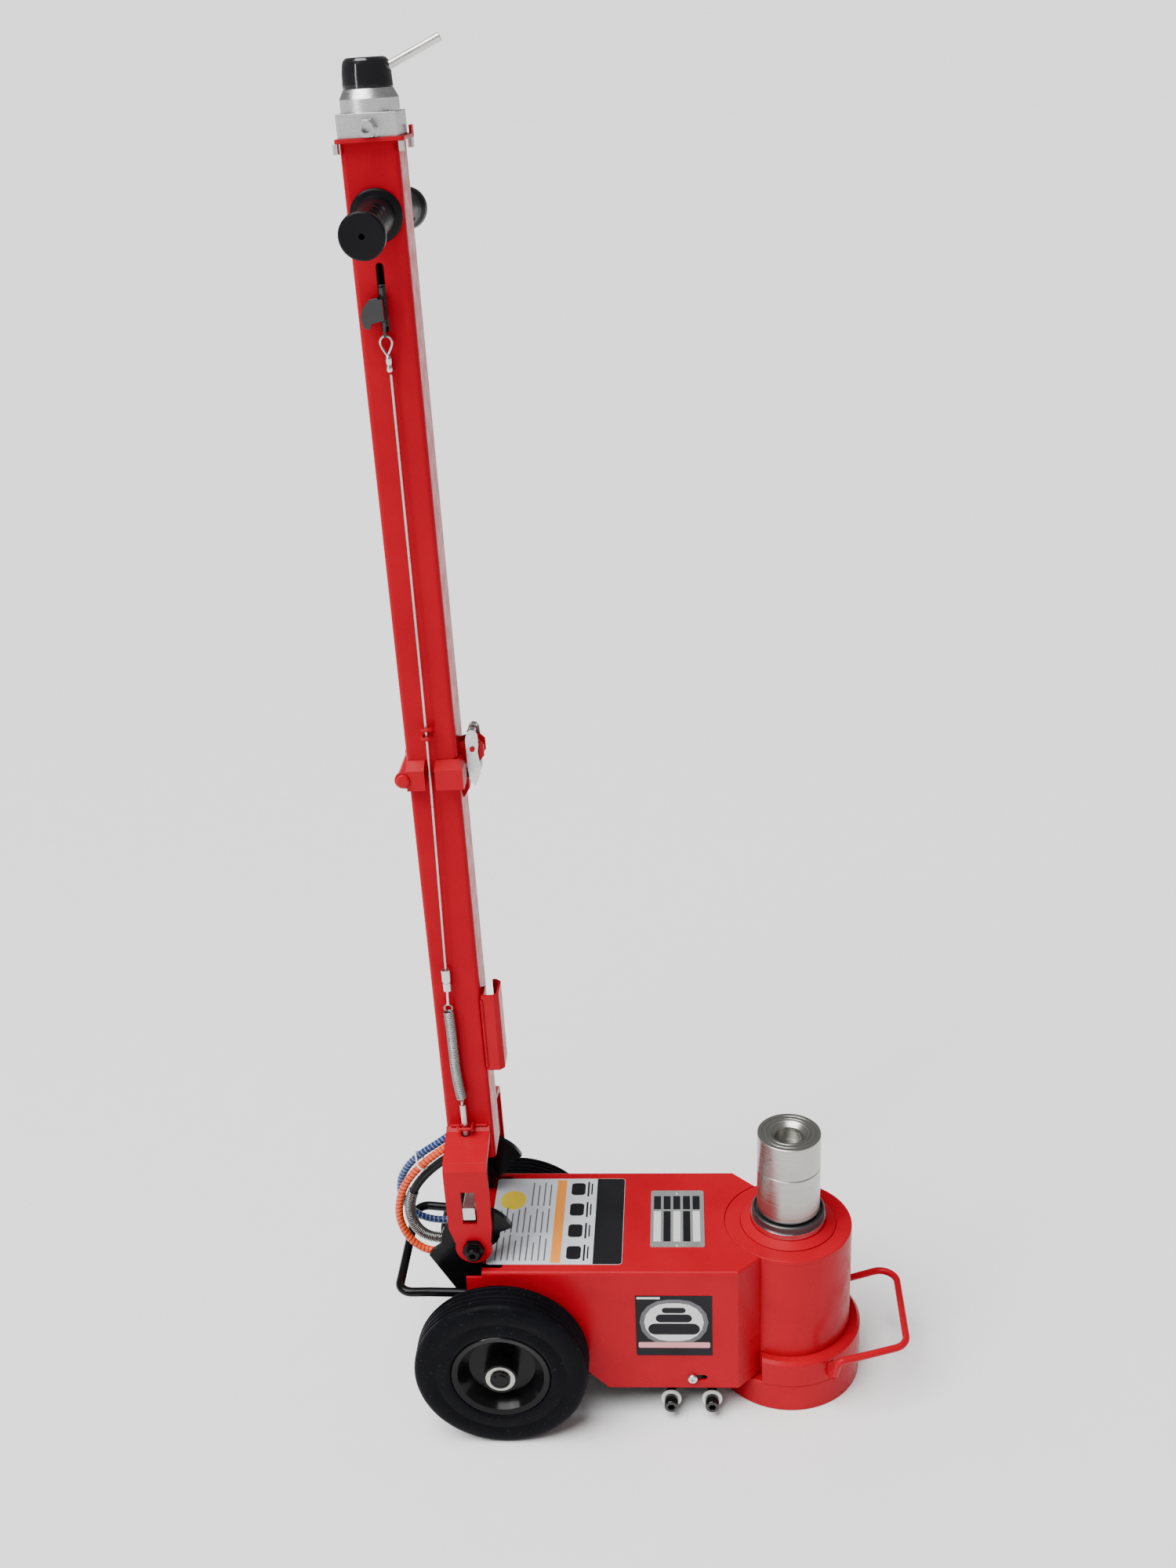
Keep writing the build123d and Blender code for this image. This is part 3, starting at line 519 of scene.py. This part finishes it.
def hoses():
    """Three hoses, two wound with a spiral strip, the third with a bright spring guard at its port."""
    step = 0.0008
    lines, lengths = {}, {}
    for node, route in HOSES.items():
        points = spline_points([(x * MM, y * MM, z * MM) for x, y, z in route])
        lines[node], lengths[node] = resample(points, step)
    tie = hose_tie(lines)
    for node, route in HOSES.items():
        fine, length = lines[node], lengths[node]
        radius = {"orange_hose": 4.9, "blue_hose": 4.7, "black_hose": 5.9}[node] * MM
        sides = 28
        if node == "black_hose":
            tube = swept("air_hose_black", fine, radius, ["hose"], sides)
        else:
            pitch = (0.0058 if node == "orange_hose" else 0.0062) / step
            wide = 0.66 if node == "orange_hose" else 0.30

            def turn(i, a, pitch=pitch):
                return (i / pitch - a / (2 * math.pi)) % 1.0

            def raised(i, a, wide=wide, turn=turn):
                t = turn(i, a)
                return 1.075 if t < wide else 1.0

            def stripe(i, k, wide=wide, turn=turn, sides=sides):
                return 1 if turn(i, 2 * math.pi * k / sides) < wide else 0
            mats = ["orange_dark", "orange"] if node == "orange_hose" else ["blue", "blue_pale"]
            tube = swept("air_hose_" + node.split("_")[0], fine, radius, mats, sides, raised, stripe)
        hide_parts(node)
        bend_with_handle(tube)
        extra = list(tie) if node == "orange_hose" else []
        if node == "black_hose":
            tail = [p for p in fine if p.z < 0.285]
            coil = helix(tail, 0.0066, 40, 16)
            guard = swept("hose_spring_guard", coil, 0.0009, ["wire"], 8)
            bend_with_handle(guard)
            extra.append(guard)


# ---------------------------------------------------------------- lock line
CABLE_R = 0.0014
CABLE_STEP = 0.0012
CABLE_LAY = 0.011               # length of one turn of the strands
CABLE_CUTS = (165, 415)         # points of the cable where one piece ends and the next starts


def lock_line():
    """Release cable with its eye, and the pull spring with its two hooks."""
    smooth = spline_points([hp(0, -36, 1098), hp(-0.7, -37.6, 900), hp(-1.5, -39, 690),
                            hp(-5.0, -38.6, 520), hp(-8.5, -38, 365)])
    fine, _ = resample(smooth, CABLE_STEP)

    def strands(i, a):
        twist = 2 * math.pi * i * CABLE_STEP / CABLE_LAY
        return 0.82 + 0.18 * abs(math.cos(3 * (a - twist)))
    high, low = CABLE_CUTS
    for tag, part, bodies, start, end in (
            ("high", fine[:high + 1], ("upper_handle", "release"), 900, 1080),
            ("middle", fine[high:low + 1], ("lower_handle", "upper_handle"), 622, 690),
            ("low", fine[low:], ("lock", "lower_handle"), 385, 590)):
        cable = swept("wire_release_cable_" + tag, part, CABLE_R, ["cable"], 24, strands)
        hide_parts("release_cable")
        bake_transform(cable)

    eye = []
    for k in range(61):
        a = math.pi / 2 + 2 * math.pi * (k + 2) / 64
        taper = 1.0 if math.sin(a) > 0 else 1.0 - 0.72 * abs(math.sin(a)) ** 1.5
        drop = 6.4 * math.sin(a) if math.sin(a) > 0 else 13.5 * math.sin(a)
        eye.append(hp(-1.5 + 6.3 * math.cos(a) * taper, -37.2, 1131 + drop))
    eye.append(eye[0])

    def lay(i, a):
        return 0.85 + 0.15 * abs(math.cos(3 * a - i * 0.9))
    loop = swept("cable_eye_loop", eye, 0.00135, ["cable"], 12, lay)
    crimped = [(1.3, 0), (3.0, 0.4), (3.4, 2), (3.4, 6), (2.7, 7.2), (2.7, 8.6), (3.4, 9.8),
               (3.4, 14), (2.9, 17.5), (1.3, 18)]
    sleeve = lathed("cable_ferrule", crimped, hp(-0.6, -36.9, 1100),
                    HANDLE.to_3x3() @ Vector((0, 0, 1)), ["zinc"], 24)
    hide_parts("cable_eye")
    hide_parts("cable_eye")
    for piece in (loop, sleeve):
        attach(piece, "release")

    line = spline_points([hp(-4.8, -38, 193), hp(-8.8, -37, 222), hp(-8.8, -37.4, 262),
                          hp(-9.0, -38, 300), hp(-9.8, -38, 321)])
    coil = helix(line, 0.0057, 50, 18)
    up = (hp(0, 0, 1) - hp(0, 0, 0)).normalized()
    spring = swept("lock_return_spring", coil, 0.00118, ["wire"], 8)
    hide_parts("release_spring")
    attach(spring, "lock")
    for name, at, turn in (("spring_hook_low", line[0] - up * 0.0035, 0),
                           ("spring_hook_high", line[-1] + up * 0.0045, 1)):
        loop = []
        side = Vector((1, 0, 0)) if turn else Vector((0, 1, 0))
        for k in range(25):
            a = 2 * math.pi * k / 24
            loop.append(at + side * math.cos(a) * 0.0048 + up * math.sin(a) * 0.0048)
        hook = swept(name, loop, 0.0012, ["wire"], 8)
        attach(hook, "lock")


# ---------------------------------------------------------------- tyres
def tyres():
    for name, side in (("left", -1), ("right", 1)):
        half = [(65, 22.6), (66.5, 24.6), (71, 25), (82, 24.4), (83, 23.9), (86, 23.9), (87, 24.5),
                (97, 24.9), (104, 24.2), (108.2, 22.4), (110.8, 19.8), (112.0, 17.2), (112.3, 14.2),
                (111.8, 13.9), (107.6, 13.2), (107.6, 10.2), (111.8, 9.5), (112.4, 9.0), (112.4, 6.8),
                (111.8, 6.3), (107.6, 5.8), (107.6, 2.9), (111.8, 2.4), (112.4, 1.9), (112.4, 0.4)]
        profile = half + [(r, -s) for r, s in reversed(half)]
        tyre = lathed("moulded_tyre_" + name, profile, (-0.3752, side * 0.135, 0.1125), (0, 1, 0),
                      ["tyre"], 160)
        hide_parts("tyre_" + name)
        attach(tyre, "wheel_" + name)


# ---------------------------------------------------------------- printed plates
CORNER_STEPS = 5


def decals(name, node, body, plane, items):
    """Thin printed patches: each item is (u0, u1, v0, v1, corner radius, material), in mm."""
    verts, faces, kinds, mats = [], [], [], []
    for layer, (u0, u1, v0, v1, corner, mat) in enumerate(items):
        if mat not in mats:
            mats.append(mat)
        ring = []
        for cu, cv, start in ((u1 - corner, v1 - corner, 0), (u0 + corner, v1 - corner, 90),
                              (u0 + corner, v0 + corner, 180), (u1 - corner, v0 + corner, 270)):
            for k in range(CORNER_STEPS):
                a = math.radians(start + 90 * k / (CORNER_STEPS - 1))
                ring.append((cu + corner * math.cos(a), cv + corner * math.sin(a)))
        base = len(verts)
        for lift in (0.01, 0.06 + 0.35 * layer / len(items)):
            verts += [plane(u, v, lift) for u, v in ring]
        n = len(ring)
        faces.append(tuple(base + n + k for k in range(n)))
        kinds.append(mats.index(mat))
        faces.append(tuple(base + n - 1 - k for k in range(n)))
        kinds.append(mats.index(mat))
        for k in range(n):
            k2 = (k + 1) % n
            faces.append((base + k, base + k2, base + n + k2, base + n + k))
            kinds.append(mats.index(mat))
    obj = new_object(name, verts, faces, mats, smooth=False, indices=kinds)
    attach(obj, body)
    return obj


def plates():
    def top(z):
        return lambda x, y, lift: Vector((x * MM, y * MM, (z + lift) * MM))

    ink = [(-250, -218.4, -88.6, 88.6, 4.4, "ink"), (-256, -240, -88.6, 88.6, 0.4, "ink"),
           (-311, -298, -86, 86, 0.4, "ink_orange"), (-386, -352, 22, 62, 16.9, "ink_yellow")]
    for row in range(4):
        y0 = -84 + row * 44
        ink.append((-291, -272, y0 + 5, y0 + 31, 5, "ink"))
        ink.append((-269, -266.5, y0 + 2, y0 + 34, 0.4, "ink"))
        ink.append((-264, -262, y0 + 6, y0 + 30, 0.4, "ink"))
    for col in range(9):
        for row in range(3):
            x0 = -384 + col * 8
            y0 = -82 + row * 56
            length = (50, 46, 52, 40, 48, 52, 36, 50, 44)[(col + row) % 9]
            if row == 2 and x0 < -346:
                continue
            ink.append((x0, x0 + 1.8, y0, y0 + length, 0.4, "ink_soft"))
    obj = decals("instruction_print", "instruction_plate", "chassis", top(235.5), ink)

    fields = []
    for k in range(5):
        x0 = -178 + k * 13
        fields.append((x0, x0 + 9.5, -44, 18, 0.8, "ink" if k % 2 else "ink_pale"))
        fields.append((x0, x0 + 9.5, 22, 50, 0.8, "ink"))
    obj = decals("rating_print", "rating_plate", "chassis", top(235.8), fields)

    def near(u, v, lift):
        return Vector((u * MM, (-104.7 - lift) * MM, v * MM))
    marks = [(-197, -108, 118, 192, 36.5, "ink_soft"), (-191, -114, 124, 186, 30.5, "ink_pale"),
             (-168, -137, 170, 179, 4.4, "ink"), (-176, -129, 155, 168, 6.4, "ink"),
             (-186, -119, 135, 153, 8.9, "ink"), (-199, -106, 113, 122, 2, "ink_pink"),
             (-200, -170, 193, 196, 0.4, "ink_pale")]
    obj = decals("side_print", "side_label", "chassis", near, marks)


# ---------------------------------------------------------------- welds and small trim
def weld(name, a, b, body, radius=2.2, pitch=0.0035):
    """Bead of overlapping ripples along a joint, painted over."""
    a, b = Vector(a), Vector(b)
    line, length = resample([a, b], 0.0007)

    def ripple(i, angle):
        taper = min(1.0, 0.25 + min(i, len(line) - 1 - i) / 4)
        wave = 0.86 + 0.14 * abs(math.sin(math.pi * i * 0.0007 / pitch + 0.6 * math.cos(angle)))
        return taper * wave
    obj = swept(name, line, radius * MM, ["red_weld"], 12, ripple)
    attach(obj, body)


def trim():
    for side, tag in ((-1, "left"), (1, "right")):
        weld("weld_yoke_top_" + tag, hp(-25, side * 30.8, 146), hp(24, side * 30.8, 146), "lower_handle")
        weld("weld_yoke_low_" + tag, hp(-25, side * 30.8, 133), hp(24, side * 30.8, 133), "lower_handle")
    weld("weld_clip", hp(30.6, -30.4, 232), hp(30.6, -30.4, 332), "lower_handle", 1.8)


camera()
materials()
studio()
hoses()
lock_line()
tyres()
plates()
trim()
